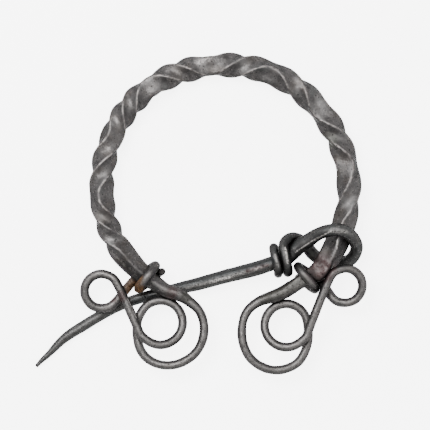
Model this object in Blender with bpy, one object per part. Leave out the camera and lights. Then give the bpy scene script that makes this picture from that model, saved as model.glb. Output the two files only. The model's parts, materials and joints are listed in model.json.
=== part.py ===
"""Iron penannular brooch lying on its back: a ring forged from one twisted bar, and its loose pin."""

import math

import bmesh
import bpy
import numpy as np
from mathutils import Matrix, Vector

# Sizes are in metres and angles in degrees. The ring is drawn in its own plane, from the centre of
# the bow: U to the right, V away from the gap, W up towards the face. An angle on the bow is read
# clockwise from the side away from the gap. The wander is how far out the uneven bar lies at some
# of these angles, in widths of the bar.

# Bow: a square bar bent to an open circle, and twisted to and fro between the smith's grips
BOW_RADIUS = 0.0310
BOW_OUT_OF_ROUND = 0.00022
BOW_LONG_WAY = -50.0
BOW_WANDER = ((-150, 0.0), (-125, 0.0), (-92, -0.045), (-68, -0.025), (-43, 0.055), (-5, -0.025),
              (22, 0.04), (52, -0.005), (75, 0.0), (105, -0.025), (135, 0.0), (150, 0.0))
BAR_WIDTH = 0.0048
BAR_SQUARENESS = 6.0
FIRST_GRIP = -122.4
GRIP_STEP = 28.8
GRIP_LENGTH_SHARE = 0.2
TURNS = (197, -179, 209, -190, 169, -159, 163, -133, 57)

# Necks: both ends of the bar, drawn out round and thin, and pulled in from the circle of the bow
NECK_INSET = 0.0014
NECK_DIAMETER = 0.0034
NECK_TAPER_LENGTH = 0.018
NECK_TAPER_AHEAD = 0.0105
LEFT_INSET_FROM = 100.0
RIGHT_INSET_FROM = 122.0
INSET_DONE = 147.0
NECK_ANGLE = 150.0

# Wire of the scrolls, which are drawn in thicknesses of this wire
WIRE_DIAMETER = 0.00205
WIRE_LAP_GAP = 0.0003
LEAVING_SHARE = 1.05
SWEEP_STEPS = 12

# Bindings: the wire end, wound round the neck. Turns are counted from the middle of the front.
LEFT_BINDING_ANGLE = 138.6
RIGHT_BINDING_ANGLE = 137.6
BINDING_DIAMETER = 0.0022
BINDING_PITCH = 0.0026
BINDING_SLANT = 0.0003
BINDING_GAP = 0.00015
BINDING_FROM = -225
LEFT_BINDING_TO = 272
RIGHT_BINDING_TO = 212
STUB_SHARE = 0.78

# Pin: a tapered round rod
PIN_HEAD_DIAMETER = 0.0034
PIN_SHANK_DIAMETER = 0.0026
PIN_EYE_DIAMETER = 0.0031
PIN_COIL_DIAMETER = 0.0024
PIN_TIP_DIAMETER = 0.0004
PIN_GAP = 0.0003
PIN_NECK_GAP = 0.0004
PIN_COIL_GAP = 0.0002
PIN_LENGTH_PAST_NECK = 0.0369
PIN_ANGLE = 115.6
COIL_REACH = 0.00415
COIL_SPACING = 0.00243

# Fineness of the solids
BAR_SIDES = 12
WIRE_SIDES = 8
PIN_BEVEL_RESOLUTION = 3
TURN_PER_STATION = 16.0
BAR_STATION = 0.0013
WIRE_STATION_LEAST = 0.0008
WIRE_STATION_MOST = 0.0022

BAR_REACH = BAR_WIDTH / 2 * 2 ** (0.5 - 1 / BAR_SQUARENESS)
LAP = (WIRE_DIAMETER + WIRE_LAP_GAP) / 2


def ease(share):
    """Smooth step from 0 to 1."""
    share = min(1.0, max(0.0, share))
    return share * share * (3 - 2 * share)


def steady_ease(share, ramp):
    """Step from 0 to 1 at a steady rate, with a short ramp at each end."""
    if share < ramp:
        return share * share / (2 * ramp * (1 - ramp))
    if share > 1 - ramp:
        return 1 - steady_ease(1 - share, ramp)
    return (share - ramp / 2) / (1 - ramp)


def spline(knots, values, places):
    """Natural cubic spline through values at knots, read at places."""
    count = len(knots)
    gaps = np.diff(knots)
    system = np.eye(count)
    wanted = np.zeros((count, values.shape[1]))
    for row in range(1, count - 1):
        before, after = gaps[row - 1], gaps[row]
        system[row, row - 1:row + 2] = before, 2 * (before + after), after
        wanted[row] = 6 * ((values[row + 1] - values[row]) / after - (values[row] - values[row - 1]) / before)
    bend = np.linalg.solve(system, wanted)
    cell = np.clip(np.searchsorted(knots, places) - 1, 0, count - 2)
    gap = gaps[cell][:, None]
    left = (knots[cell + 1] - places)[:, None] / gap
    right = 1 - left
    return (left * values[cell] + right * values[cell + 1]
            + ((left ** 3 - left) * bend[cell] + (right ** 3 - right) * bend[cell + 1]) * gap ** 2 / 6)


def bow_point(angle):
    """Centre of the bar at an angle of the bow."""
    inset_from = RIGHT_INSET_FROM if angle > 0 else LEFT_INSET_FROM
    share = (abs(angle) - inset_from) / (INSET_DONE - inset_from)
    radius = BOW_RADIUS - NECK_INSET * ease(share)
    radius += BOW_OUT_OF_ROUND * math.cos(2 * math.radians(angle - BOW_LONG_WAY))
    wander = np.array(BOW_WANDER)
    radius += BAR_WIDTH * spline(wander[:, 0], wander[:, 1:], np.array((angle,)))[0, 0]
    turn = math.radians(angle)
    return np.array((radius * math.sin(turn), radius * math.cos(turn), 0.0))


def bow_twist(angle):
    """Turn of the square section at an angle of the bow, in degrees from face up to outward."""
    place = (angle - FIRST_GRIP) / GRIP_STEP
    twist = -180.0
    for number, turn in enumerate(TURNS):
        share = min(1.0, max(0.0, place - number))
        twist += turn * steady_ease(share, GRIP_LENGTH_SHARE)
    return twist


class Side:
    """One end of the ring, with the sizes that differ between the two, as if it were the right one.

    Lengths are in thicknesses of the wire, and centres are from where the neck leaves the bow. The
    sweep of the big loop gives direction and distance from its centre, and how much of the neck's
    extra thickness is left there. The eye stands off the side of the bar by its gap, which is
    negative where it lies over the bar, and its rise is in laps.
    """

    def __init__(self, sign, binding_angle, binding_to, big, sweep, big_end, inner, inner_radius,
                 eye_angle, eye_gap, eye_radius, eye_rise):
        root = bow_point(sign * NECK_ANGLE)[:2] * (sign, 1)
        self.sign = sign
        self.binding_angle = binding_angle
        self.binding_to = binding_to
        self.big = root + np.array(big) * WIRE_DIAMETER
        self.sweep = np.array(sweep) * (1, WIRE_DIAMETER, 1)
        self.big_end = big_end * WIRE_DIAMETER
        self.inner = root + np.array(inner) * WIRE_DIAMETER
        self.inner_radius = inner_radius * WIRE_DIAMETER
        self.eye_radius = eye_radius * WIRE_DIAMETER
        self.eye_rise = eye_rise * LAP
        beside = bow_point(sign * eye_angle)[:2] * (sign, 1)
        out = BAR_REACH + (eye_gap + 0.5) * WIRE_DIAMETER + self.eye_radius
        self.eye = beside * (1 + out / np.linalg.norm(beside))


LEFT = Side(-1, LEFT_BINDING_ANGLE, LEFT_BINDING_TO,
            big=(-0.39, -5.02),
            sweep=((104, 4.66, 0.9), (112, 4.48, 0.60), (122, 4.39, 0.26), (140, 4.41, 0.04), (172, 4.26, 0.0),
                   (205, 4.14, 0.0), (240, 4.08, 0.0), (270, 4.15, 0.0), (300, 4.27, 0.0), (316, 4.27, 0.0)),
            big_end=4.07, inner=(0.683, -3.932), inner_radius=2.683,
            eye_angle=129.8, eye_gap=0.924, eye_radius=2.107, eye_rise=1.0)
RIGHT = Side(1, RIGHT_BINDING_ANGLE, RIGHT_BINDING_TO,
             big=(-0.927, -5.512),
             sweep=((95, 4.94, 0.74), (111, 4.83, 0.30), (130, 4.82, 0.0), (147, 4.66, 0.0), (160, 4.49, 0.0),
                    (175, 4.30, 0.0), (190, 4.21, 0.0), (220, 4.14, 0.0), (260, 4.10, 0.0), (300, 4.07, 0.0),
                    (316, 4.03, 0.0)),
             big_end=3.856, inner=(0.20, -4.13), inner_radius=2.624,
             eye_angle=129.0, eye_gap=-0.375, eye_radius=2.122, eye_rise=1.957)


def arc(centre, radius, start, end, low, high, steps):
    """Points of an arc from start to end, climbing from low to high."""
    points = []
    for step in range(steps + 1):
        share = step / steps
        turn = math.radians(start + (end - start) * share)
        height = low + (high - low) * ease(share)
        points.append((centre[0] + radius * math.cos(turn), centre[1] + radius * math.sin(turn), height))
    return points


def binding_point(side, turned):
    """Centre of the binding wire; turned is 0 in front of the neck, and grows towards the stub."""
    angle = side.binding_angle
    along = (BINDING_PITCH * turned / 360 - BINDING_SLANT * math.sin(math.radians(turned)))
    centre = bow_point(side.sign * (angle + math.degrees(along / BOW_RADIUS))) * (side.sign, 1, 1)
    inward = -centre / np.linalg.norm(centre)
    reach = side_radius(along - BINDING_DIAMETER / 2) + BINDING_DIAMETER / 2 + BINDING_GAP
    turn = math.radians(turned)
    point = centre - inward * reach * math.sin(turn) + np.array((0, 0, reach * math.cos(turn)))
    return tuple(point)


def rounded_share(along):
    """How far the square bar has become the round neck, at a distance past the middle of the binding."""
    return ease((along + NECK_TAPER_AHEAD) / NECK_TAPER_LENGTH)


def side_radius(along):
    """Reach of the bar's section at a distance past the middle of the binding."""
    thin = NECK_DIAMETER / 2
    return thin + (BAR_REACH - thin) * (1 - rounded_share(along))


def terminal(side):
    """Route of one end, from the neck to the stub of the binding: point, half width, squareness."""
    thin = WIRE_DIAMETER / 2
    route = []

    # The neck thins into the big loop, which falls by a lap as it comes round.
    directions = np.linspace(side.sweep[0, 0], side.sweep[-1, 0], SWEEP_STEPS)
    distances = spline(side.sweep[:, 0], side.sweep[:, 1:2], directions)[:, 0]
    thickness = np.interp(directions, side.sweep[:, 0], side.sweep[:, 2])
    for direction, distance, share in zip(directions, distances, thickness):
        turn = math.radians(direction)
        across, away = side.big + distance * np.array((math.cos(turn), math.sin(turn)))
        fall = LAP * ease((direction - 180) / (directions[-1] - 180))
        route.append(((across, away, -fall), thin + (NECK_DIAMETER / 2 - thin) * share))

    # It draws in, and runs on into the inner one along the line that touches both circles.
    gap = side.inner - side.big
    narrowing = side.big_end - side.inner_radius
    heading = math.atan2(gap[1], gap[0]) + math.asin(narrowing / np.linalg.norm(gap))
    meet = math.degrees(heading) - 90
    route += [(point, thin) for point in arc(side.big, side.big_end, 342, 360 + meet - 4, -LAP, -LAP, 1)]

    # The inner loop lies under the neck and climbs to cross over the end of the big loop. It leaves
    # for the eye along the line that touches both circles.
    gap = side.eye - side.inner
    leaving_radius = side.inner_radius * LEAVING_SHARE
    heading = math.atan2(gap[1], gap[0]) + math.asin((leaving_radius + side.eye_radius) / np.linalg.norm(gap))
    leave = 360 + math.degrees(heading) - 90
    route += [(point, thin) for point in arc(side.inner, side.inner_radius, meet + 4, 110, -LAP, -LAP, 4)]
    route += [(point, thin) for point in arc(side.inner, side.inner_radius, 135, leave - 30, -LAP, LAP, 6)]
    route += [(point, thin) for point in arc(side.inner, leaving_radius, leave - 8, leave, LAP, LAP, 1)]

    # The eye falls as it turns, so that its end passes under its own start.
    arrive = math.degrees(heading) + 90
    route += [(point, thin) for point in arc(side.eye, side.eye_radius, arrive, -134, side.eye_rise, -LAP, 9)]

    # The wire dives behind the neck, goes round it and ends beside it.
    steps = 13
    for step in range(steps + 1):
        turned = BINDING_FROM + (side.binding_to - BINDING_FROM) * step / steps
        half = BINDING_DIAMETER / 2 * (1 - (1 - STUB_SHARE) * ease(step / steps * 5 - 4))
        route.append((binding_point(side, turned), half))
    return [((point[0] * side.sign, point[1], point[2]), half, 2.0) for point, half in route]


def ring_route():
    """Route of the whole ring from the left stub to the right one, with the twist of the bar."""
    middle = []
    angle = -NECK_ANGLE
    while angle <= NECK_ANGLE:
        side = RIGHT if angle > 0 else LEFT
        past = math.radians(abs(angle) - side.binding_angle) * BOW_RADIUS
        squareness = BAR_SQUARENESS + (2.0 - BAR_SQUARENESS) * rounded_share(past)
        half = side_radius(past) / 2 ** (0.5 - 1 / squareness)
        middle.append((tuple(bow_point(angle)), half, squareness, bow_twist(angle)))
        angle += 3.0
    left = [(*stop, middle[0][3]) for stop in reversed(terminal(LEFT))]
    right = [(*stop, middle[-1][3]) for stop in terminal(RIGHT)]
    return left + middle + right


def pin_route():
    """Route of the pin from its point, round the bar and back, to the end of its coil."""
    hinge = bow_point(PIN_ANGLE)
    head = PIN_HEAD_DIAMETER / 2
    shank = PIN_SHANK_DIAMETER / 2
    eye = PIN_EYE_DIAMETER / 2
    coil = PIN_COIL_DIAMETER / 2
    reach = BAR_REACH + PIN_GAP + eye

    # The shank runs straight from the coil to below the left neck, and bends on to the point.
    heel = hinge + np.array((-2.667, -0.892, -0.26)) * reach
    under = bow_point(-NECK_ANGLE) + np.array((0.176, -0.03, 0.0)) * NECK_DIAMETER
    under[2] = -(NECK_DIAMETER / 2 + PIN_NECK_GAP + shank)
    run = under - heel
    run_length = np.linalg.norm(run)
    run = run / run_length
    aside = np.array((-run[1], run[0], 0.0))
    past = PIN_LENGTH_PAST_NECK

    # Beyond the neck: shares of the length towards the point, and of the shank's thickness
    bend = ((1.0, 0.263, PIN_TIP_DIAMETER / 2), (0.96, 0.238, shank * 0.24), (0.913, 0.213, shank * 0.40),
            (0.844, 0.169, shank * 0.58), (0.766, 0.127, shank * 0.82), (0.664, 0.096, shank),
            (0.546, 0.060, shank), (0.439, 0.031, shank), (0.305, 0.008, shank), (0.126, 0.0, shank))
    stops = [(under + run * past * ahead + aside * past * down, half) for ahead, down, half in bend]
    stops.append((under, shank))
    for share in (0.2, 0.4, 0.6, 0.8, 0.92, 1.0):
        size = shank + (head - shank) * share
        stops.append((under - run * run_length * share, size))

    # Loop round the bar: place and height from the hinge, as shares of its reach over the bar
    loop = ((-2.072, -0.410, -0.12, head), (-1.703, -0.123, 0.09, head), (-1.354, 0.185, 0.31, head),
            (-0.944, 0.451, 0.58, eye), (-0.410, 0.616, 0.88, eye), (0.062, 0.636, 1.0, eye),
            (0.533, 0.451, 0.90, eye), (0.862, 0.082, 0.56, eye), (0.985, -0.308, 0.14, eye),
            (0.882, -0.677, -0.30, eye), (0.616, -0.964, -0.68, eye), (0.226, -1.067, -0.92, eye),
            (-0.328, -1.046, -1.0, eye), (-0.841, -0.862, -0.98, eye), (-1.252, -0.574, -0.84, eye),
            (-1.539, -0.205, -0.78, eye * 0.97), (-1.80, 0.06, -0.72, eye * 0.93))
    for across, away, rise, half in loop:
        stops.append((hinge + np.array((across, away, rise)) * reach, half))

    # Coil round the shank: an oval helix that starts above the shank and winds towards the point
    up = np.array((0.0, 0.0, 1.0))
    beside = np.cross(up, -run)
    round_shank = head + coil + PIN_COIL_GAP
    for turned in range(0, 541, 36):
        share = turned / 540
        turn = math.radians(turned)
        along = COIL_SPACING * (turned / 360 - 0.31 - 0.97 * math.exp(-turned / 24) + 0.13 * math.cos(turn))
        sideways = COIL_REACH * ((1 - 0.28 * share) * math.cos(turn) + 0.17 * (1 - share))
        centre = heel + run * along + beside * sideways + up * round_shank * math.sin(turn)
        thick = 1.14 - 0.14 * min(1.0, turned / 72) - 0.1 * share
        stops.append((centre, coil * thick))
    return [(tuple(point), half, 2.0, 0.0) for point, half in stops]


def stations(route):
    """Evenly turning stations along a route: centres, half widths, squareness and twist."""
    points = np.array([stop[0] for stop in route])
    knots = np.concatenate(([0.0], np.cumsum(np.sqrt(np.linalg.norm(np.diff(points, axis=0), axis=1)))))
    fine = np.linspace(0, knots[-1], 6000)
    dense = spline(knots, points, fine)
    steps = np.linalg.norm(np.diff(dense, axis=0), axis=1)
    length = np.concatenate(([0.0], np.cumsum(steps)))
    heading = np.diff(dense, axis=0) / steps[:, None]
    bend = np.linalg.norm(np.diff(heading, axis=0), axis=1) / steps[1:]
    bend = np.concatenate(([bend[0]], bend, [bend[-1]]))
    squareness = np.interp(fine, knots, [stop[2] for stop in route])
    wanted = np.clip(math.radians(TURN_PER_STATION) / np.maximum(bend, 1.0),
                     WIRE_STATION_LEAST, WIRE_STATION_MOST)
    wanted = np.where(squareness > 2.5, BAR_STATION, wanted)
    count = np.concatenate(([0.0], np.cumsum(steps / wanted[1:])))
    total = round(count[-1])
    at = np.interp(np.linspace(0, count[-1], total + 1), count, length)
    where = np.interp(at, length, fine)
    return (spline(knots, points, where),
            np.interp(where, knots, [stop[1] for stop in route]),
            np.interp(where, knots, [stop[2] for stop in route]),
            np.interp(where, knots, [stop[3] for stop in route]))


def frames(centres):
    """Directions along and across a route, carried along it without turning about it."""
    ahead = np.gradient(centres, axis=0)
    ahead /= np.linalg.norm(ahead, axis=1)[:, None]
    middle = len(centres) // 2
    up = np.zeros_like(centres)
    first = np.array((0.0, 0.0, 1.0))
    up[middle] = first - ahead[middle] * (first @ ahead[middle])
    up[middle] /= np.linalg.norm(up[middle])
    for order in (range(middle + 1, len(centres)), range(middle - 1, -1, -1)):
        last = middle
        for now in order:
            carried = up[last] - ahead[now] * (up[last] @ ahead[now])
            up[now] = carried / np.linalg.norm(carried)
            last = now
    return ahead, up, np.cross(ahead, up)


def round_rod(name, route, about):
    """A round tapered rod along a route, with its origin at about."""
    centres, halves, _, _ = stations(route)
    curve = bpy.data.curves.new(name, "CURVE")
    curve.dimensions = "3D"
    curve.bevel_depth = halves.max()
    curve.bevel_resolution = PIN_BEVEL_RESOLUTION
    curve.use_fill_caps = True
    line = curve.splines.new("POLY")
    line.points.add(len(centres) - 1)
    for point, centre, half in zip(line.points, centres - about, halves):
        point.co = (*centre, 1)
        point.radius = half / curve.bevel_depth
    return bpy.data.objects.new(name, curve)


def loft(name, route, about):
    """One closed body along a route whose section changes, with its origin at about."""
    centres, halves, squareness, twists = stations(route)
    ahead, up, inward = frames(centres)
    body = bmesh.new()
    rings = []
    for number, centre in enumerate(centres):
        power = squareness[number]
        sides = BAR_SIDES if power > 2.5 else WIRE_SIDES
        corners = []
        for side in range(sides):
            turn = math.tau * side / sides
            flat = turn + math.radians(45)
            shape = (abs(math.cos(flat)) ** power + abs(math.sin(flat)) ** power) ** (1 / power)
            turn += math.radians(twists[number])
            out = math.cos(turn) * up[number] - math.sin(turn) * inward[number]
            point = centre + out * halves[number] / shape
            corners.append(body.verts.new(Vector(point - about)))
        rings.append(corners)
    for last, now in zip(rings, rings[1:]):
        join(body, last, now)
    for ring, centre, half, forward in ((rings[0], centres[0], halves[0], -ahead[0]),
                                        (rings[-1], centres[-1], halves[-1], ahead[-1])):
        crown = body.verts.new(Vector(centre + forward * half * 0.35 - about))
        for side, corner in enumerate(ring):
            body.faces.new((corner, ring[(side + 1) % len(ring)], crown))
    bmesh.ops.recalc_face_normals(body, faces=body.faces)
    mesh = bpy.data.meshes.new(name)
    body.to_mesh(mesh)
    body.free()
    mesh.shade_smooth()
    mesh.set_sharp_from_angle(angle=math.radians(35))
    return bpy.data.objects.new(name, mesh)


def join(body, last, now):
    """Faces between two rings of corners, which may differ in number."""
    first = second = 0
    while first < len(last) or second < len(now):
        here, there = last[first % len(last)], now[second % len(now)]
        if (first + 1) * len(now) == (second + 1) * len(last):
            ahead, beyond = last[(first + 1) % len(last)], now[(second + 1) % len(now)]
            body.faces.new((here, ahead, beyond))
            body.faces.new((here, beyond, there))
            first += 1
            second += 1
        elif (first + 1) * len(now) < (second + 1) * len(last):
            body.faces.new((here, last[(first + 1) % len(last)], there))
            first += 1
        else:
            body.faces.new((here, now[(second + 1) % len(now)], there))
            second += 1


def iron(name, colour, roughness):
    """Iron with a dull patina."""
    material = bpy.data.materials.new(name)
    material.use_nodes = True
    shader = material.node_tree.nodes["Principled BSDF"]
    shader.inputs["Base Color"].default_value = (*colour, 1)
    shader.inputs["Metallic"].default_value = 0.8
    shader.inputs["Roughness"].default_value = roughness
    return material


def surface(piece):
    """Corners and triangles of a piece, in its own space."""
    mesh = piece.evaluated_get(bpy.context.evaluated_depsgraph_get()).to_mesh()
    mesh.calc_loop_triangles()
    corners = [vertex.co.copy() for vertex in mesh.vertices]
    return corners, [tuple(triangle.vertices) for triangle in mesh.loop_triangles]


def lying_turn(surfaces):
    """Turn that lays the pieces on the three points that carry their weight."""
    cloud = bmesh.new()
    weight = 0.0
    balance = Vector()
    for corners, triangles in surfaces:
        for triangle in triangles:
            first, second, third = (corners[index] for index in triangle)
            volume = first.dot(second.cross(third)) / 6
            weight += volume
            balance += volume * (first + second + third) / 4
        for corner in corners:
            cloud.verts.new(corner)
    balance /= weight
    hull = bmesh.ops.convex_hull(cloud, input=cloud.verts)
    faces = [face for face in hull["geom"] if isinstance(face, bmesh.types.BMFace)]
    best = Vector((0, 0, -1))
    nearest = math.inf
    for face in faces:
        normal = face.normal if face.normal.dot(face.verts[0].co - balance) > 0 else -face.normal
        if normal.z > -0.9:
            continue
        foot = balance + normal * normal.dot(face.verts[0].co - balance)
        spread = sum((a.co - foot).cross(b.co - foot).length for a, b in zip(
            face.verts, list(face.verts[1:]) + [face.verts[0]])) / 2 - face.calc_area()
        if spread < nearest:
            nearest = spread
            best = normal
    cloud.free()
    return best.rotation_difference(Vector((0, 0, -1))).to_matrix().to_4x4()


def main():
    for old in list(bpy.data.objects):
        bpy.data.objects.remove(old, do_unlink=True)
    collection = bpy.data.collections.new("penannular_brooch")
    bpy.context.scene.collection.children.link(collection)

    hinge = bow_point(PIN_ANGLE)
    frame = bpy.data.objects.new("hinge", None)
    ring = loft("ring", ring_route(), hinge)
    pin = round_rod("pin", pin_route(), hinge)
    for thing in (frame, ring, pin):
        collection.objects.link(thing)
    ring.data.materials.append(iron("forged_iron", (0.16, 0.15, 0.15), 0.5))
    pin.data.materials.append(iron("pin_iron", (0.13, 0.13, 0.13), 0.45))
    bpy.context.view_layer.update()

    # The pieces hang on an empty at the hinge, which lays them down and centres their footprint.
    surfaces = [surface(piece) for piece in (ring, pin)]
    turn = lying_turn(surfaces)
    corners = np.array([turn @ corner for corners, _ in surfaces for corner in corners])
    low, high = corners.min(axis=0), corners.max(axis=0)
    frame.matrix_world = Matrix.Translation((-(low[0] + high[0]) / 2, -(low[1] + high[1]) / 2, -low[2])) @ turn
    ring.parent = frame
    pin.parent = frame
    bpy.context.view_layer.update()


main()
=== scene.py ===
import json
import math

import bmesh
import bpy
import numpy as np
from mathutils import Euler, Matrix, Vector, noise


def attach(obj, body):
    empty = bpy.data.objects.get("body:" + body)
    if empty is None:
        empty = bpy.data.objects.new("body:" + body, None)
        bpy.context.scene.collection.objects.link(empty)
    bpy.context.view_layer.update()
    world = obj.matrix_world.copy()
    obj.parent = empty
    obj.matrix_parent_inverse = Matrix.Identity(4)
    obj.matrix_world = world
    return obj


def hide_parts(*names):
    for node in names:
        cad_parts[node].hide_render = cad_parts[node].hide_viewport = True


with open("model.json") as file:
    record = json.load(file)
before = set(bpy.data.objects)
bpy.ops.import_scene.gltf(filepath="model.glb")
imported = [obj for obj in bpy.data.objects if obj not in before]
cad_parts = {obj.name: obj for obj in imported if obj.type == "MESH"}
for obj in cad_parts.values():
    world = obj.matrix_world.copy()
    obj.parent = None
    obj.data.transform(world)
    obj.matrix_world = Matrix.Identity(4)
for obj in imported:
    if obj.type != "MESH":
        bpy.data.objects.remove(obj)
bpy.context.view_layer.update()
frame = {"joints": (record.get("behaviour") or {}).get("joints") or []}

print("frame loaded")

# The brooch is drawn in the plane of its ring: across, away from the gap, and up out of its face.
# Angles on the bow are clockwise from the side away from the gap. Metres and degrees.
# A crust of corrosion stands on the sound iron, and relief is depth, reach and salt of the dents.

bow = {
    "radius": 0.0310,
    "outOfRound": 0.00022,
    "longWay": -50.0,
    "wander": ((-150, 0.0), (-125, 0.0), (-92, -0.045), (-68, -0.025), (-43, 0.055), (-5, -0.025),
               (22, 0.04), (52, -0.005), (75, 0.0), (105, -0.025), (135, 0.0), (150, 0.0)),
    "width": 0.0048,
    "solidSquareness": 6.0,
    "squareness": 8.0,
    "hollowFlats": 0.035,
    "fullness": 0.03,
    "fullUpTo": 105,
    "fullFade": 15,
    "firstTwist": -180.0,
    "firstGrip": -122.4,
    "gripStep": 28.8,
    "gripLengthShare": 0.2,
    "turns": (197, -179, 209, -190, 169, -159, 163, -133, 57),
    "neckInset": 0.0014,
    "neckDiameter": 0.0034,
    "neckTaperLength": 0.018,
    "neckTaperAhead": 0.0105,
    "insetDone": 147.0,
    "neckAngle": 150.0,
    "stopEvery": 3.0,
    "relief": ((0.00007, 0.0032, 1), (0.00003, 0.0011, 2), (0.000012, 0.00045, 3)),
    "crust": 0.00005,
    "step": 0.00034,
    "sides": 44,
}

wire = {
    "diameter": 0.00205,
    "fullness": 1.05,
    "lapGap": 0.0003,
    "leavingShare": 1.05,
    "sweepSteps": 12,
    "bindingDiameter": 0.0022,
    "bindingPitch": 0.0026,
    "bindingSlant": 0.0003,
    "bindingGap": 0.00015,
    "bindingFrom": -225,
    "bindingSteps": 13,
    "rootSteps": 3,
    "stubShare": 0.78,
}

pinForm = {
    "headDiameter": 0.0034,
    "shankDiameter": 0.0026,
    "eyeDiameter": 0.0031,
    "coilDiameter": 0.0024,
    "tipDiameter": 0.0008,
    "gap": 0.0003,
    "neckGap": 0.0004,
    "coilGap": 0.0002,
    "lengthPastNeck": 0.0369,
    "bend": ((1.013, 0.270, 0), (0.965, 0.240, 0.44), (0.913, 0.213, 0.56), (0.844, 0.171, 0.74),
             (0.766, 0.129, 0.89), (0.664, 0.096, 1), (0.546, 0.060, 1), (0.439, 0.031, 1),
             (0.305, 0.008, 1), (0.126, 0.0, 1)),
    "liftFrom": 0.7,
    "lift": 0.0008,
    "underNeck": (0.176, -0.03, 0.0),
    "belly": 0.0002,
    "bellyDown": 1.5,
    "heel": (-2.667, -0.892, -0.26),
    "angle": 115.6,
    "coilReach": 0.00415,
    "coilSpacing": 0.00243,
    "coilStart": 0.31,
    "coilRunIn": (0.97, 24),
    "coilLean": 0.13,
    "coilNarrows": 0.28,
    "coilAside": 0.17,
    "coilTurned": 540,
    "coilEvery": 36,
    "relief": ((0.00006, 0.003, 7), (0.000028, 0.001, 8), (0.00001, 0.0004, 9)),
    "crust": 0.00005,
    "step": 0.0003,
    "sides": 36,
}

barReach = bow["width"] / 2 * 2 ** (0.5 - 1 / bow["solidSquareness"])
lap = (wire["diameter"] + wire["lapGap"]) / 2


def ease(share):
    share = min(1.0, max(0.0, share))
    return share * share * (3 - 2 * share)


def steadyEase(share, ramp):
    if share < ramp:
        return share * share / (2 * ramp * (1 - ramp))
    if share > 1 - ramp:
        return 1 - steadyEase(1 - share, ramp)
    return (share - ramp / 2) / (1 - ramp)


def spline(knots, values, places):
    count = len(knots)
    gaps = np.diff(knots)
    slopes = np.diff(values, axis=0) / gaps[:, None]
    system = np.eye(count)
    wanted = np.zeros((count, values.shape[1]))
    for row in range(1, count - 1):
        before, after = gaps[row - 1], gaps[row]
        system[row, row - 1:row + 2] = before, 2 * (before + after), after
        wanted[row] = 6 * (slopes[row] - slopes[row - 1])
    bend = np.linalg.solve(system, wanted)
    cell = np.clip(np.searchsorted(knots, places) - 1, 0, count - 2)
    gap = gaps[cell][:, None]
    left = (knots[cell + 1] - places)[:, None] / gap
    right = 1 - left
    return (left * values[cell] + right * values[cell + 1]
            + ((left ** 3 - left) * bend[cell] + (right ** 3 - right) * bend[cell + 1]) * gap ** 2 / 6)


def bowPoint(angle):
    insetFrom = (rightEnd if angle > 0 else leftEnd)["insetFrom"]
    share = (abs(angle) - insetFrom) / (bow["insetDone"] - insetFrom)
    radius = bow["radius"] - bow["neckInset"] * ease(share)
    radius += bow["outOfRound"] * math.cos(2 * math.radians(angle - bow["longWay"]))
    wander = np.array(bow["wander"])
    radius += bow["width"] * spline(wander[:, 0], wander[:, 1:], np.array((angle,)))[0, 0]
    turn = math.radians(angle)
    return np.array((radius * math.sin(turn), radius * math.cos(turn), 0.0))


def bowTwist(angle):
    place = (angle - bow["firstGrip"]) / bow["gripStep"]
    twist = bow["firstTwist"]
    for number, turn in enumerate(bow["turns"]):
        share = min(1.0, max(0.0, place - number))
        twist += turn * steadyEase(share, bow["gripLengthShare"])
    return twist


def roundedShare(along):
    return ease((along + bow["neckTaperAhead"]) / bow["neckTaperLength"])


def sideRadius(along):
    thin = bow["neckDiameter"] / 2
    return thin + (barReach - thin) * (1 - roundedShare(along))


# Both ends are worked out as right-hand ones, in thicknesses of the wire. Centres are from where the
# neck leaves the bow. The sweep is direction and distance from the big loop's centre, and the share
# of the neck's extra thickness. The swell is how far the bar stays full before the binding.
leftEnd = {
    "sign": -1,
    "insetFrom": 100.0,
    "bindingAngle": 138.6,
    "bindingTo": 272,
    "rootShare": 1.0,
    "swell": 0.0,
    "swellBefore": 0.0036,
    "swellReach": 0.0032,
    "big": (-0.39, -5.02),
    "sweep": ((104, 4.66, 0.9), (112, 4.48, 0.60), (122, 4.39, 0.26), (140, 4.41, 0.04), (172, 4.26, 0.0),
              (205, 4.14, 0.0), (240, 4.08, 0.0), (270, 4.15, 0.0), (300, 4.27, 0.0), (316, 4.27, 0.0)),
    "bigEnd": 4.07,
    "inner": (0.683, -3.932),
    "innerRadius": 2.683,
    "eyeAngle": 129.8,
    "eyeGap": 0.924,
    "eyeRadius": 2.107,
    "eyeRise": 1.0,
}

rightEnd = {
    "sign": 1,
    "insetFrom": 122.0,
    "bindingAngle": 137.6,
    "bindingTo": 207,
    "rootShare": 1.28,
    "swell": 0.0004,
    "swellBefore": 0.0036,
    "swellReach": 0.0032,
    "big": (-0.927, -5.512),
    "sweep": ((95, 4.94, 0.74), (111, 4.83, 0.30), (130, 4.82, 0.0), (147, 4.66, 0.0), (160, 4.49, 0.0),
              (175, 4.30, 0.0), (190, 4.21, 0.0), (220, 4.14, 0.0), (260, 4.10, 0.0), (300, 4.07, 0.0),
              (316, 4.03, 0.0)),
    "bigEnd": 3.856,
    "inner": (0.20, -4.13),
    "innerRadius": 2.624,
    "eyeAngle": 129.0,
    "eyeGap": -0.375,
    "eyeRadius": 2.122,
    "eyeRise": 1.957,
}


def arc(centre, radius, start, end, low, high, steps):
    points = []
    for step in range(steps + 1):
        share = step / steps
        turn = math.radians(start + (end - start) * share)
        height = low + (high - low) * ease(share)
        points.append((centre[0] + radius * math.cos(turn), centre[1] + radius * math.sin(turn), height))
    return points


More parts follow.
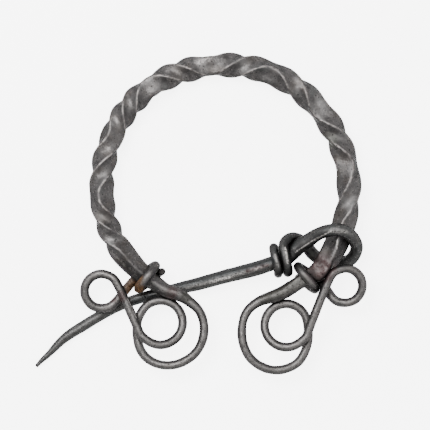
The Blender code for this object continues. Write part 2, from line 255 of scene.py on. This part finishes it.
def bindingPoint(end, turned):
    along = wire["bindingPitch"] * turned / 360 - wire["bindingSlant"] * math.sin(math.radians(turned))
    angle = end["bindingAngle"] + math.degrees(along / bow["radius"])
    centre = bowPoint(end["sign"] * angle) * (end["sign"], 1, 1)
    inward = -centre / np.linalg.norm(centre)
    thick = wire["bindingDiameter"] / 2
    reach = sideRadius(along - thick) + thick + wire["bindingGap"]
    turn = math.radians(turned)
    return tuple(centre - inward * reach * math.sin(turn) + np.array((0, 0, reach * math.cos(turn))))


def endRoute(end):
    thick = wire["diameter"]
    thin = thick / 2
    full = thin * wire["fullness"]
    root = bowPoint(end["sign"] * bow["neckAngle"])[:2] * (end["sign"], 1)
    big, inner = root + np.array(end["big"]) * thick, root + np.array(end["inner"]) * thick
    bigEnd, innerRadius, eyeRadius = (end[name] * thick for name in ("bigEnd", "innerRadius", "eyeRadius"))
    beside = bowPoint(end["sign"] * end["eyeAngle"])[:2] * (end["sign"], 1)
    eye = beside * (1 + (barReach + (end["eyeGap"] + 0.5) * thick + eyeRadius) / np.linalg.norm(beside))

    # the neck thins into the big loop, which falls by a lap as it comes round
    route = []
    sweep = np.array(end["sweep"])
    directions = np.linspace(sweep[0, 0], sweep[-1, 0], wire["sweepSteps"])
    distances = thick * spline(sweep[:, 0], sweep[:, 1:2], directions)[:, 0]
    extra = np.interp(directions, sweep[:, 0], sweep[:, 2]) * (bow["neckDiameter"] / 2 - thin)
    for direction, distance, more in zip(directions, distances, extra):
        turn = math.radians(direction)
        across, away = big + distance * np.array((math.cos(turn), math.sin(turn)))
        fall = lap * ease((direction - 180) / (directions[-1] - 180))
        route.append(((across, away, -fall), full + more))

    # it draws in and runs on into the inner one
    gap = inner - big
    heading = math.atan2(gap[1], gap[0]) + math.asin((bigEnd - innerRadius) / np.linalg.norm(gap))
    meet = math.degrees(heading) - 90
    route += [(point, full) for point in arc(big, bigEnd, 342, 360 + meet - 4, -lap, -lap, 1)]

    # the inner loop climbs over the end of the big one and leaves for the eye
    gap = eye - inner
    leavingRadius = innerRadius * wire["leavingShare"]
    heading = math.atan2(gap[1], gap[0]) + math.asin((leavingRadius + eyeRadius) / np.linalg.norm(gap))
    leave = 360 + math.degrees(heading) - 90
    route += [(point, full) for point in arc(inner, innerRadius, meet + 4, 110, -lap, -lap, 4)]
    route += [(point, full) for point in arc(inner, innerRadius, 135, leave - 30, -lap, lap, 6)]
    route += [(point, full) for point in arc(inner, leavingRadius, leave - 8, leave, lap, lap, 1)]

    # the eye falls as it turns, and the wire dives behind the neck and round it
    arrive = math.degrees(heading) + 90
    route += [(point, full) for point in arc(eye, eyeRadius, arrive, -134, end["eyeRise"] * lap, -lap, 9)]
    steps = wire["bindingSteps"]
    for step in range(steps + 1):
        turned = wire["bindingFrom"] + (end["bindingTo"] - wire["bindingFrom"]) * step / steps
        half = wire["bindingDiameter"] / 2 * (1 - (1 - wire["stubShare"]) * ease(step / steps * 5 - 4))
        half *= 1 + (end["rootShare"] - 1) * ease(1 - step / wire["rootSteps"])
        route.append((bindingPoint(end, turned), half))
    return [((point[0] * end["sign"], point[1], point[2]), half, 2.0) for point, half in route]


def ringRoute():
    middle = []
    angle = -bow["neckAngle"]
    while angle <= bow["neckAngle"]:
        end = rightEnd if angle > 0 else leftEnd
        past = math.radians(abs(angle) - end["bindingAngle"]) * bow["radius"]
        squareness = bow["squareness"] + (2.0 - bow["squareness"]) * roundedShare(past)
        half = sideRadius(past) / 2 ** (0.5 - 1 / squareness)
        half *= 1 + bow["fullness"] * ease((bow["fullUpTo"] - abs(angle)) / bow["fullFade"])
        centre = bowPoint(angle)
        swell = end["swell"] * ease(1 - abs(past + end["swellBefore"]) / end["swellReach"])
        centre = centre * (1 + 1.3 * swell / np.linalg.norm(centre)) + np.array((0, 0, swell))
        middle.append((tuple(centre), half + swell, squareness, bowTwist(angle)))
        angle += bow["stopEvery"]
    left = [(*stop, middle[0][3]) for stop in reversed(endRoute(leftEnd))]
    right = [(*stop, middle[-1][3]) for stop in endRoute(rightEnd)]
    return left + middle + right


def pinRoute():
    hinge = bowPoint(pinForm["angle"])
    head = pinForm["headDiameter"] / 2
    shank = pinForm["shankDiameter"] / 2
    eye = pinForm["eyeDiameter"] / 2
    coil = pinForm["coilDiameter"] / 2
    reach = barReach + pinForm["gap"] + eye
    heel = hinge + np.array(pinForm["heel"]) * reach
    under = bowPoint(-bow["neckAngle"]) + np.array(pinForm["underNeck"]) * bow["neckDiameter"]
    under[2] = -(bow["neckDiameter"] / 2 + pinForm["neckGap"] + shank)
    run = under - heel
    runLength = np.linalg.norm(run)
    run = run / runLength
    aside = np.array((-run[1], run[0], 0.0))
    past = pinForm["lengthPastNeck"]

    # beyond the neck it bends down to the point: ahead and down, and the share of the shank's thickness
    up = np.array((0.0, 0.0, 1.0))
    stops = []
    for ahead, down, thick in pinForm["bend"]:
        lift = max(0, ahead - pinForm["liftFrom"]) * pinForm["lift"]
        half = shank * thick or pinForm["tipDiameter"] / 2
        stops.append((under + run * past * ahead + aside * past * down + up * lift, half))
    stops.append((under, shank))
    for share in (0.2, 0.4, 0.6, 0.8, 0.92, 1.0):
        belly = pinForm["belly"] * ease(min(share, 1 - share) * 5)
        place = under - run * runLength * share + aside * belly * pinForm["bellyDown"]
        stops.append((place, shank + (head - shank) * share + belly))

    # loop round the bar: place and height from the hinge, as shares of its reach over the bar
    loop = ((-2.115, -0.335, -0.12, head * 1.2), (-1.740, -0.070, 0.09, head * 1.1),
            (-1.354, 0.185, 0.31, head), (-0.944, 0.451, 0.58, eye), (-0.410, 0.616, 0.88, eye),
            (0.062, 0.636, 1.0, eye),
            (0.533, 0.451, 0.90, eye), (0.862, 0.082, 0.56, eye), (0.985, -0.308, 0.14, eye),
            (0.882, -0.677, -0.30, eye), (0.616, -0.964, -0.68, eye), (0.226, -1.067, -0.92, eye),
            (-0.328, -1.046, -1.0, eye), (-0.841, -0.862, -0.98, eye), (-1.252, -0.574, -0.84, eye),
            (-1.539, -0.205, -0.78, eye * 0.97), (-1.80, 0.06, -0.72, eye * 0.93))
    for across, away, rise, half in loop:
        stops.append((hinge + np.array((across, away, rise)) * reach, half))

    # coil round the shank
    beside = np.cross(up, -run)
    roundShank = head + coil + pinForm["coilGap"]
    runIn, runInOver = pinForm["coilRunIn"]
    for turned in range(0, pinForm["coilTurned"] + 1, pinForm["coilEvery"]):
        share = turned / pinForm["coilTurned"]
        turn = math.radians(turned)
        along = turned / 360 - pinForm["coilStart"] - runIn * math.exp(-turned / runInOver)
        along = pinForm["coilSpacing"] * (along + pinForm["coilLean"] * math.cos(turn))
        sideways = (1 - pinForm["coilNarrows"] * share) * math.cos(turn)
        sideways = pinForm["coilReach"] * (sideways + pinForm["coilAside"] * (1 - share))
        centre = heel + run * along + beside * sideways + up * roundShank * math.sin(turn)
        thick = 1.14 - 0.14 * min(1.0, turned / 72) - 0.1 * share
        stops.append((centre, coil * thick))
    return [(tuple(point), half, 2.0, 0.0) for point, half in stops]


# How the ring lies: its tilt, and where the middle of the pin's loop comes.
lying = {
    "tilt": (-3.388, -0.981, 0.029),
    "hinge": frame["joints"][0]["pos_m"],
}
tilted = Euler([math.radians(turn) for turn in lying["tilt"]]).to_matrix().to_4x4()
layDown = Matrix.Translation(lying["hinge"]) @ tilted
layDown = layDown @ Matrix.Translation(-Vector(bowPoint(pinForm["angle"])))
faceUp = np.array(layDown.to_3x3() @ Vector((0, 0, 1)))


def stations(route, step, trials=8000):
    points = np.array([stop[0] for stop in route])
    knots = np.concatenate(([0.0], np.cumsum(np.sqrt(np.linalg.norm(np.diff(points, axis=0), axis=1)))))
    fine = np.linspace(0, knots[-1], trials)
    strides = np.linalg.norm(np.diff(spline(knots, points, fine), axis=0), axis=1)
    length = np.concatenate(([0.0], np.cumsum(strides)))
    along = np.linspace(0, length[-1], round(length[-1] / step) + 1)
    where = np.interp(along, length, fine)
    columns = [np.interp(where, knots, [stop[number] for stop in route]) for number in (1, 2, 3)]
    return (spline(knots, points, where), along, *columns)


def carriedFrames(centres):
    ahead = np.gradient(centres, axis=0)
    ahead /= np.linalg.norm(ahead, axis=1)[:, None]
    middle = len(centres) // 2
    up = np.zeros_like(centres)
    up[middle] = (0, 0, 1)
    for order in (range(middle, len(centres)), range(middle - 1, -1, -1)):
        last = middle
        for now in order:
            carried = up[last] - ahead[now] * (up[last] @ ahead[now])
            up[now] = carried / np.linalg.norm(carried)
            last = now
    return ahead, up, np.cross(ahead, up)


def unevenness(points, reach, salt):
    return np.array([noise.noise(Vector(point) / reach + Vector((salt, 0, 0))) for point in points])


skinWork = {
    "squareFrom": 2.5,
    "cornerGather": 0.16,
    "slenderUnder": 0.0012,
    "ridgeFrom": 7.0,
    "cap": ((0.86, 0.14), (0.5, 0.17), (0.14, 0.15)),
    "capDent": 0.00006,
    "capDentReach": 0.0006,
    "cutReach": 0.00025,
}


# A bar that is twisted while it goes from square to round wire is lofted, as no primitive gives it.
def forge(name, route, form):
    centres, along, halves, powers, twists = stations(route, form["step"])
    halves = halves + form["crust"]
    ahead, up, inward = carriedFrames(centres)
    count, sides = len(centres), form["sides"]

    # the corners get more of the sides than the flats
    even = np.arange(sides) / sides * math.tau
    square = powers[:, None] > skinWork["squareFrom"]
    spread = even - skinWork["cornerGather"] * np.sin(4 * even) * square
    flat = spread + math.pi / 4
    shape = np.abs(np.cos(flat)) ** powers[:, None] + np.abs(np.sin(flat)) ** powers[:, None]
    shape = shape ** (-1 / powers[:, None])
    shape *= 1 - form.get("hollowFlats", 0) * (0.5 - 0.5 * np.cos(4 * spread)) ** 2 * square
    turn = spread + np.radians(twists)[:, None]
    out = np.cos(turn)[..., None] * up[:, None] - np.sin(turn)[..., None] * inward[:, None]
    grid = centres[:, None] + out * (halves[:, None] * shape)[..., None]
    flatGrid = grid.reshape(-1, 3)
    dents = np.zeros(len(flatGrid))
    for depth, reach, salt in form["relief"]:
        dents += depth * unevenness(flatGrid, reach, salt)
    slender = np.clip(halves / skinWork["slenderUnder"], 0.25, 1)[:, None]
    grid = grid + out * (dents.reshape(count, sides) * slender)[..., None]
    full = np.maximum(2 ** (0.5 - 1 / powers[:, None]) - 1, 0.02)
    ridge = np.clip((shape - 1) / full, 0, 1) * np.clip(powers[:, None] - skinWork["ridgeFrom"], 0, 1)

    # cut ends: a chamfer, then a rough face
    rows, marks, lengths = [grid], [ridge], [along]
    for place, forward in ((0, -ahead[0]), (count - 1, ahead[-1])):
        caps, heights = [], []
        for shrink, rise in skinWork["cap"]:
            cap = centres[place] + (grid[place] - centres[place]) * shrink + forward * halves[place] * rise
            rough = unevenness(cap, skinWork["capDentReach"], 5)[:, None]
            caps.append(cap + forward * skinWork["capDent"] * rough)
            heights.append(np.zeros(sides))
        if place == 0:
            caps.reverse()
            rows.insert(0, np.array(caps))
            marks.insert(0, np.array(heights))
            lengths.insert(0, np.full(3, along[0]))
        else:
            rows.append(np.array(caps))
            marks.append(np.array(heights))
            lengths.append(np.full(3, along[-1]))
    skin = np.concatenate(rows).reshape(-1, 3)
    ridge = np.concatenate(marks).reshape(-1)
    place = np.repeat(np.concatenate(lengths), sides)

    total = len(skin) // sides
    first = np.arange(total - 1)[:, None] * sides + np.arange(sides)
    beside = np.arange(total - 1)[:, None] * sides + (np.arange(sides) + 1) % sides
    quads = np.stack((first, beside, beside + sides, first + sides), axis=-1).reshape(-1, 4).tolist()
    quads.append(list(range(sides))[::-1])
    quads.append([(total - 1) * sides + number for number in range(sides)])
    mesh = bpy.data.meshes.new(name)
    mesh.from_pydata([layDown @ Vector(point) for point in skin], [], quads)
    work = bmesh.new()
    work.from_mesh(mesh)
    bmesh.ops.recalc_face_normals(work, faces=work.faces)
    work.to_mesh(mesh)
    work.free()
    mesh.shade_smooth()
    piece = bpy.data.objects.new(name, mesh)
    bpy.context.scene.collection.objects.link(piece)
    cut = np.clip(1 - np.minimum(place, along[-1] - place) / skinWork["cutReach"], 0, 1)
    rounded = np.interp(place, along, np.clip((4.0 - powers) / 2, 0, 1))
    return piece, {"skin": skin, "place": place, "ridge": ridge, "cut": cut, "round": rounded,
                   "centres": centres, "along": along, "reach": halves * 2 ** (0.5 - 1 / powers)}


ringPiece, ringFacts = forge("forgedRing", ringRoute(), bow)
print("ring forged", len(ringPiece.data.polygons))
pinPiece, pinFacts = forge("forgedPin", pinRoute(), pinForm)
print("pin forged", len(pinPiece.data.polygons))


# painted shade in the gaps between wires that cross close by
paintedShade = {
    "reach": 0.0011,
    "ownWireFrom": 0.006,
    "every": 4,
    "batch": 4000,
}


# Painted shade: points beside a wire that crosses close by are darkened, as shade falls in the gap.
def creviceShading(facts, others):
    skin, dark = facts["skin"], np.zeros(len(facts["skin"]))
    for other, own in others:
        centres, reach, along = (other[name][::paintedShade["every"]] for name in ("centres", "reach", "along"))
        for start in range(0, len(skin), paintedShade["batch"]):
            part = slice(start, start + paintedShade["batch"])
            gap = np.linalg.norm(skin[part, None] - centres[None], axis=2) - reach[None]
            if own:
                apart = np.abs(facts["place"][part, None] - along[None])
                gap = np.where(apart < paintedShade["ownWireFrom"], 1.0, gap)
            near = np.clip(1 - gap.min(axis=1) / paintedShade["reach"], 0, 1)
            dark[part] = np.maximum(dark[part], near)
    return dark


# A spot is across, away and reach; a streak has two ends and a reach.
def blot(skin, spot):
    start, end, reach = np.array(spot[:2]), np.array(spot[-3:-1]), spot[-1]
    way = end - start
    share = np.clip((skin[:, :2] - start) @ way / max(way @ way, 1e-12), 0, 1)
    distance = np.linalg.norm(skin[:, :2] - start - share[:, None] * way, axis=1)
    return np.clip(1.3 - distance / reach, 0, 1)


# Marks in the ring's own plane. Rust keeps to the left binding and the wire that runs into it.
ringStainsAndLight = {
    "rust": ((-0.0250, -0.0268, -0.0218, -0.0226, 0.0018), (-0.0214, -0.0252, 0.0017)),
    "rustUpTo": 0.040,
    "plum": ((0.0238, -0.0198, 0.0042), (-0.0133, -0.0261, 0.0018), (0.0266, -0.0200, 0.0016),
             (0.0250, -0.0218, 0.0020), (-0.0260, -0.0260, -0.0254, -0.0276, 0.0010),
             (-0.0280, -0.0277, 0.0011)),
    "patch": ((-0.0098, -0.0271, 0.0016), (0.0190, -0.0230, 0.0098, -0.0276, 0.0018),
              (0.0262, 0.0120, 0.0024)),
    # painted highlights: thin bright streaks on the bar's right end and along a wire at the left end
    "paintedHighlight": ((0.0279, -0.0126, 0.0278, -0.0150, 0.00014), (-0.0242, -0.0274, -0.0220, -0.0322, 0.00026)),
    # painted soft highlight patches on the bow's facets, added to the painted highlights at paleShare
    "pale": ((-0.0142, 0.0294, 0.0011), (-0.0295, 0.0106, 0.0014), (-0.0280, 0.0176, 0.0012),
             (-0.0072, 0.0314, -0.0012, 0.0321, 0.0009), (-0.0317, 0.0031, 0.0012),
             (0.0260, 0.0186, 0.0013), (0.0190, 0.0254, 0.0012), (0.0302, 0.0066, 0.0014),
             (-0.0283, -0.0158, -0.0250, -0.0192, 0.0006), (-0.0236, -0.0200, -0.0222, -0.0210, 0.0007)),
    "paleShare": 0.42,
}
pinStainsAndLight = {
    "rust": (),
    "rustUpTo": 0,
    "plum": ((0.0056, -0.0205, 0.0105, -0.0190, 0.0007),),
    # on the pin the patch spots are dark teal: painted shadow where the pin runs under the ring's left end,
    # and a darker streak along the shank
    "patch": ((-0.0127, -0.0248, 0.0117, -0.0180, 0.0008), (-0.0225, -0.0285, -0.0185, -0.0272, 0.0014)),
    # painted highlights: the sharp bright line along the pin's front loop wire and streaks on the shank
    "paintedHighlight": ((-0.0035, -0.0234, 0.0012, -0.0222, 0.00032), (0.0074, -0.0203, 0.0102, -0.0193, 0.00026),
               (0.0174, -0.0159, 0.0211, -0.0134, 0.00022), (0.0211, -0.0134, 0.0262, -0.0106, 0.00020),
               (0.0150, -0.0148, 0.0156, -0.0186, 0.00030)),
    # painted soft highlight streaks along the shank and the loop, added to the painted highlights at
    # paleShare
    "pale": ((-0.0119, -0.0254, -0.0038, -0.0236, 0.0005), (-0.0050, -0.0238, 0.0067, -0.0206, 0.0007),
             (0.0067, -0.0205, 0.0108, -0.0191, 0.0006), (0.0125, -0.0165, 0.0132, -0.0195, 0.0005),
             (0.0262, -0.0106, 0.0300, -0.0108, 0.0008)),
    "paleShare": 0.42,
}


def mark(piece, facts, others, stainsAndLight):
    mesh = piece.data
    normals = np.empty(len(mesh.vertices) * 3)
    mesh.vertex_normals.foreach_get("vector", normals)
    facing = np.abs(normals.reshape(-1, 3) @ faceUp)
    skin = facts["skin"]
    tints = {}
    for name in ("rust", "plum", "patch", "paintedHighlight", "pale"):
        tints[name] = np.zeros(len(skin))
        for spot in stainsAndLight[name]:
            tints[name] = np.maximum(tints[name], blot(skin, spot))
    tints["rust"] *= facts["place"] < stainsAndLight["rustUpTo"]
    # the soft painted highlight patches join the painted highlights at a share
    tints["paintedHighlight"] = np.maximum(tints["paintedHighlight"], stainsAndLight["paleShare"] * tints.pop("pale"))
    # the first colour holds the rust, plum and patch stains, and in its alpha the painted highlights
    stainAndLight = mesh.color_attributes.new("stainAndLight", "FLOAT_COLOR", "POINT")
    stainAndLight.data.foreach_set("color", np.stack(list(tints.values()), axis=1).astype(np.float32).ravel())
    # the second colour holds the ridges, how squarely each point faces up (which the shader turns into
    # painted light on tops and painted shade on flanks), the painted shade beside crossing wires, and how
    # round the wire is
    wearAndShade = mesh.color_attributes.new("wearAndShade", "FLOAT_COLOR", "POINT")
    columns = (facts["ridge"], facing, creviceShading(facts, others), facts["round"])
    wearAndShade.data.foreach_set("color", np.stack(columns, axis=1).astype(np.float32).ravel())
    ends = mesh.attributes.new("cutEnd", "FLOAT", "POINT")
    ends.data.foreach_set("value", facts["cut"].astype(np.float32))


mark(ringPiece, ringFacts, ((ringFacts, True), (pinFacts, False)), ringStainsAndLight)
mark(pinPiece, pinFacts, ((pinFacts, True), (ringFacts, False)), pinStainsAndLight)
print("wear and stains marked")


def ironSkinGroup():
    group = bpy.data.node_groups.new("oldIronSkin", "ShaderNodeTree")
    face = group.interface
    for name in ("Ground", "Pale", "CrownSheen", "WornSheen", "Shine", "Patch", "FlankShade"):
        face.new_socket(name, in_out="INPUT", socket_type="NodeSocketColor")
    for name, kind in (("Color", "Color"), ("Roughness", "Float"), ("Height", "Float")):
        face.new_socket(name, in_out="OUTPUT", socket_type="NodeSocket" + kind)
    nodes, links = group.nodes, group.links
    given = nodes.new("NodeGroupInput")
    result = nodes.new("NodeGroupOutput")
    place = nodes.new("ShaderNodeTexCoord")

    def cloud(scale, detail, rough):
        node = nodes.new("ShaderNodeTexNoise")
        node.inputs["Scale"].default_value = scale
        node.inputs["Detail"].default_value = detail
        node.inputs["Roughness"].default_value = rough
        links.new(place.outputs["Object"], node.inputs["Vector"])
        return node.outputs["Fac"]

    def between(value, low, high, start=0.0, end=1.0):
        node = nodes.new("ShaderNodeMapRange")
        node.interpolation_type = "SMOOTHSTEP"
        links.new(value, node.inputs["Value"])
        for socket, number in (("From Min", low), ("From Max", high), ("To Min", start), ("To Max", end)):
            node.inputs[socket].default_value = number
        return node.outputs["Result"]

    def reckon(kind, one, two):
        node = nodes.new("ShaderNodeMath")
        node.operation = kind
        for number, value in enumerate((one, two)):
            if isinstance(value, (int, float)):
                node.inputs[number].default_value = value
            else:
                links.new(value, node.inputs[number])
        return node.outputs[0]

    def mix(factor, one, two):
        node = nodes.new("ShaderNodeMix")
        node.data_type = "RGBA"
        links.new(factor, node.inputs["Factor"])
        for socket, value in (("A", one), ("B", two)):
            target = next(item for item in node.inputs if item.name == socket and item.type == "RGBA")
            if isinstance(value, tuple):
                target.default_value = (*value, 1)
            else:
                links.new(value, target)
        return next(item for item in node.outputs if item.type == "RGBA")

    wearAndShade = nodes.new("ShaderNodeAttribute")
    wearAndShade.attribute_name = "wearAndShade"
    split = nodes.new("ShaderNodeSeparateColor")
    links.new(wearAndShade.outputs["Color"], split.inputs["Color"])
    stainAndLight = nodes.new("ShaderNodeAttribute")
    stainAndLight.attribute_name = "stainAndLight"
    stainSplit = nodes.new("ShaderNodeSeparateColor")
    links.new(stainAndLight.outputs["Color"], stainSplit.inputs["Color"])
    ends = nodes.new("ShaderNodeAttribute")
    ends.attribute_name = "cutEnd"
    ridge, facing, creviceShade = split.outputs["Red"], split.outputs["Green"], split.outputs["Blue"]
    rust, plum, patch = stainSplit.outputs["Red"], stainSplit.outputs["Green"], stainSplit.outputs["Blue"]
    paintedHighlight, rounded = stainAndLight.outputs["Alpha"], wearAndShade.outputs["Alpha"]

    broad = cloud(240, 3, 0.55)
    blotchy = cloud(700, 5, 0.65)
    speckle = cloud(2400, 6, 0.72)
    grain = cloud(7000, 3, 0.6)
    pits = nodes.new("ShaderNodeTexVoronoi")
    pits.inputs["Scale"].default_value = 1500
    links.new(place.outputs["Object"], pits.inputs["Vector"])
    pitted = reckon("MULTIPLY", between(pits.outputs["Distance"], 0.36, 0.12), between(blotchy, 0.48, 0.60))

    # painted light: the faces that look up are painted pale in patches, and further down painted shade
    # darkens the flanks
    uneven = reckon("ADD", facing, reckon("MULTIPLY", reckon("SUBTRACT", blotchy, 0.5), 0.36))
    top = reckon("MULTIPLY", between(uneven, 0.72, 1.06), between(speckle, 0.30, 0.62, 0.7, 1.0))
    color = mix(top, given.outputs["Ground"], given.outputs["Pale"])
    brown = reckon("MULTIPLY", between(broad, 0.50, 0.66), between(rounded, 0.0, 1.0, 0.35, 0.15))
    color = mix(brown, color, (0.066, 0.054, 0.045))
    color = mix(between(broad, 0.46, 0.32, 0.0, 0.35), color, (0.056, 0.062, 0.060))
    # painted highlight: a paler line along the tops of round wires, where they face up
    crownsheen = reckon("MULTIPLY", between(facing, 0.84, 0.99), rounded)
    crownsheen = reckon("MULTIPLY", crownsheen, between(blotchy, 0.36, 0.62, 0.3, 0.95))
    color = mix(crownsheen, color, given.outputs["CrownSheen"])
    # painted shade: the flanks, which turn away from above, are darkened
    color = mix(between(uneven, 0.90, 0.46, 0.0, 0.92), color, given.outputs["FlankShade"])
    color = mix(between(speckle, 0.57, 0.72, 0.0, 0.6), color, given.outputs["WornSheen"])
    color = mix(between(speckle, 0.43, 0.30, 0.0, 0.4), color, (0.018, 0.018, 0.018))

    # ridges of the twist are worn bright in broken lines, with painted highlight where they face up, and a
    # few streaks of painted highlight shine
    bright = reckon("MULTIPLY", between(ridge, 0.80, 0.985), between(facing, 0.50, 0.86))
    bright = reckon("MULTIPLY", bright, between(blotchy, 0.42, 0.61, 0.04, 0.72))
    color = mix(bright, color, given.outputs["WornSheen"])
    # painted highlight: the streaks and patches listed above, broken into flecks except at their cores
    highlightMask = reckon("MULTIPLY", between(paintedHighlight, 0.15, 1.0), between(facing, 0.50, 0.80))
    flecks = reckon("MAXIMUM", between(speckle, 0.42, 0.56, 0.1, 0.95), between(paintedHighlight, 0.9, 1.0, 0.0, 0.8))
    highlightMask = reckon("MULTIPLY", highlightMask, flecks)
    color = mix(highlightMask, color, given.outputs["Shine"])

    # stains, with painted shadow in the pin's patch, painted shade beside crossing wires, pits and dark cut
    # ends
    plum = reckon("MULTIPLY", between(plum, 0.1, 0.9), between(speckle, 0.36, 0.6, 0.6, 1.0))
    plum = reckon("MULTIPLY", plum, between(blotchy, 0.36, 0.58, 0.5, 0.95))
    color = mix(plum, color, (0.038, 0.021, 0.021))
    # patch: a greenish patina on the ring; on the pin a dark teal that is painted shadow where it runs
    # under the ring
    patch = reckon("MULTIPLY", between(patch, 0.1, 0.9), between(speckle, 0.35, 0.6, 0.4, 0.85))
    color = mix(patch, color, given.outputs["Patch"])
    tan = mix(between(speckle, 0.42, 0.60), (0.070, 0.038, 0.020), (0.150, 0.088, 0.046))
    rusty = reckon("MULTIPLY", between(rust, 0.1, 1.0), between(blotchy, 0.34, 0.56, 0.5, 0.92))
    color = mix(rusty, color, tan)
    # painted shade in the gaps beside wires that cross close by
    color = mix(between(creviceShade, 0.0, 1.0, 0.0, 0.92), color, (0.006, 0.005, 0.005))
    color = mix(reckon("MULTIPLY", pitted, 0.8), color, (0.012, 0.010, 0.010))
    color = mix(reckon("MULTIPLY", ends.outputs["Fac"], 0.8), color, (0.012, 0.010, 0.010))
    links.new(color, result.inputs["Color"])

    rough = reckon("ADD", between(blotchy, 0.34, 0.66, 0.36, 0.58), reckon("MULTIPLY", pitted, 0.25))
    rough = reckon("ADD", rough, reckon("MULTIPLY", rust, 0.3))
    rough = reckon("SUBTRACT", rough, reckon("MULTIPLY", bright, 0.10))
    links.new(rough, result.inputs["Roughness"])

    height = reckon("ADD", reckon("MULTIPLY", speckle, 0.5), reckon("MULTIPLY", grain, 0.18))
    height = reckon("ADD", height, reckon("MULTIPLY", blotchy, 0.5))
    height = reckon("SUBTRACT", height, reckon("MULTIPLY", pitted, 0.5))
    links.new(height, result.inputs["Height"])
    return group


ironSkin = ironSkinGroup()


def ironMaterial(look):
    material = bpy.data.materials.new(look["name"])
    material.use_nodes = True
    nodes, links = material.node_tree.nodes, material.node_tree.links
    shader = nodes["Principled BSDF"]
    skin = nodes.new("ShaderNodeGroup")
    skin.node_tree = ironSkin
    for socket in ("Ground", "Pale", "CrownSheen", "WornSheen", "Shine", "Patch", "FlankShade"):
        skin.inputs[socket].default_value = (*look[socket.lower()], 1)
    links.new(skin.outputs["Color"], shader.inputs["Base Color"])
    links.new(skin.outputs["Roughness"], shader.inputs["Roughness"])
    shader.inputs["Metallic"].default_value = look["metallic"]
    shader.inputs["Specular Tint"].default_value = (0.25, 0.25, 0.25, 1)
    shader.inputs["Specular IOR Level"].default_value = 0.3
    bump = nodes.new("ShaderNodeBump")
    bump.inputs["Strength"].default_value = look["bump"]
    bump.inputs["Distance"].default_value = look["bumpDepth"]
    links.new(skin.outputs["Height"], bump.inputs["Height"])
    links.new(bump.outputs["Normal"], shader.inputs["Normal"])
    return material


# In each look, pale paints light on the faces that look up, crown a highlight along round wires, worn the
# worn specks and the ridges with their painted highlight, shine the painted highlight streaks, and edge the
# painted shade on the flanks
ringLook = {
    "name": "ringIron",
    "ground": (0.058, 0.055, 0.055),
    "pale": (0.124, 0.119, 0.117),
    "crownsheen": (0.152, 0.144, 0.139),
    "wornsheen": (0.310, 0.284, 0.274),
    "shine": (0.480, 0.450, 0.440),
    "patch": (0.046, 0.046, 0.041),
    "flankshade": (0.022, 0.021, 0.021),
    "metallic": 0.85,
    "bump": 0.8,
    "bumpDepth": 0.00015,
}
pinLook = {
    "name": "pinIron",
    "ground": (0.048, 0.048, 0.048),
    "pale": (0.075, 0.074, 0.073),
    "crownsheen": (0.092, 0.090, 0.088),
    "wornsheen": (0.300, 0.288, 0.280),
    "shine": (0.700, 0.672, 0.640),
    # patch: painted shadow where the pin runs under the ring
    "patch": (0.024, 0.026, 0.027),
    "flankshade": (0.013, 0.013, 0.013),
    "metallic": 0.85,
    "bump": 0.8,
    "bumpDepth": 0.00015,
}
ringPiece.data.materials.append(ironMaterial(ringLook))
pinPiece.data.materials.append(ironMaterial(pinLook))

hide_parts("ring")
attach(ringPiece, "ring_body")
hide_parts("pin")
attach(pinPiece, "pin_body")
print("pieces dressed")

# Pale floor, soft light from above, camera square to the face of the ring
studio = {
    "floor": (0.93, 0.93, 0.93),
    "floorGlow": 5.5,
    "picture": (430, 4000.0, (225.0, 188.5)),
    "lens": 200.0,
    "skyStrength": 0.6,
    "boxes": (("overheadBox", (-0.16, 0.20, 0.50), (0.26, 0.26), 4.9),
              ("sideBox", (0.45, -0.10, 0.40), (0.22, 0.40), 1.0)),
}
bpy.ops.object.select_all(action="DESELECT")
bpy.ops.mesh.primitive_plane_add(size=3.0, location=(0, 0, 0))
floor = bpy.context.object
floor.name = "paleFloor"
paper = bpy.data.materials.new("palePaper")
paper.use_nodes = True
paperShader = paper.node_tree.nodes["Principled BSDF"]
paperShader.inputs["Base Color"].default_value = (*studio["floor"], 1)
paperShader.inputs["Roughness"].default_value = 0.9
paperShader.inputs["Emission Color"].default_value = (1, 1, 1, 1)
paperShader.inputs["Emission Strength"].default_value = studio["floorGlow"]
floor.data.materials.append(paper)

world = bpy.data.worlds.new("softRoom")
world.use_nodes = True
world.node_tree.nodes["Background"].inputs["Color"].default_value = (1, 1, 1, 1)
world.node_tree.nodes["Background"].inputs["Strength"].default_value = studio["skyStrength"]
bpy.context.scene.world = world


def softBox(name, place, size, power):
    data = bpy.data.lights.new(name, "AREA")
    data.shape = "RECTANGLE"
    data.size, data.size_y = size
    data.energy = power
    lamp = bpy.data.objects.new(name, data)
    lamp.location = place
    lamp.rotation_euler = Vector(place).to_track_quat("Z", "Y").to_euler()
    bpy.context.scene.collection.objects.link(lamp)


for box in studio["boxes"]:
    softBox(*box)

# the picture is its width in pixels, pixels to the metre, and where the ring's centre comes in it
pixels, perMetre, centre = studio["picture"]
looked = Vector(((pixels / 2 - centre[0]) / perMetre, (centre[1] - pixels / 2) / perMetre, 0))
lens = bpy.data.cameras.new("camera")
lens.lens = studio["lens"]
lens.sensor_width = 36.0
lens.clip_start = 0.01
camera = bpy.data.objects.new("camera", lens)
distance = pixels / perMetre * lens.lens / lens.sensor_width
camera.matrix_world = layDown @ Matrix.Translation(looked + Vector((0, 0, distance)))
bpy.context.scene.collection.objects.link(camera)
bpy.context.scene.camera = camera
print("studio set")
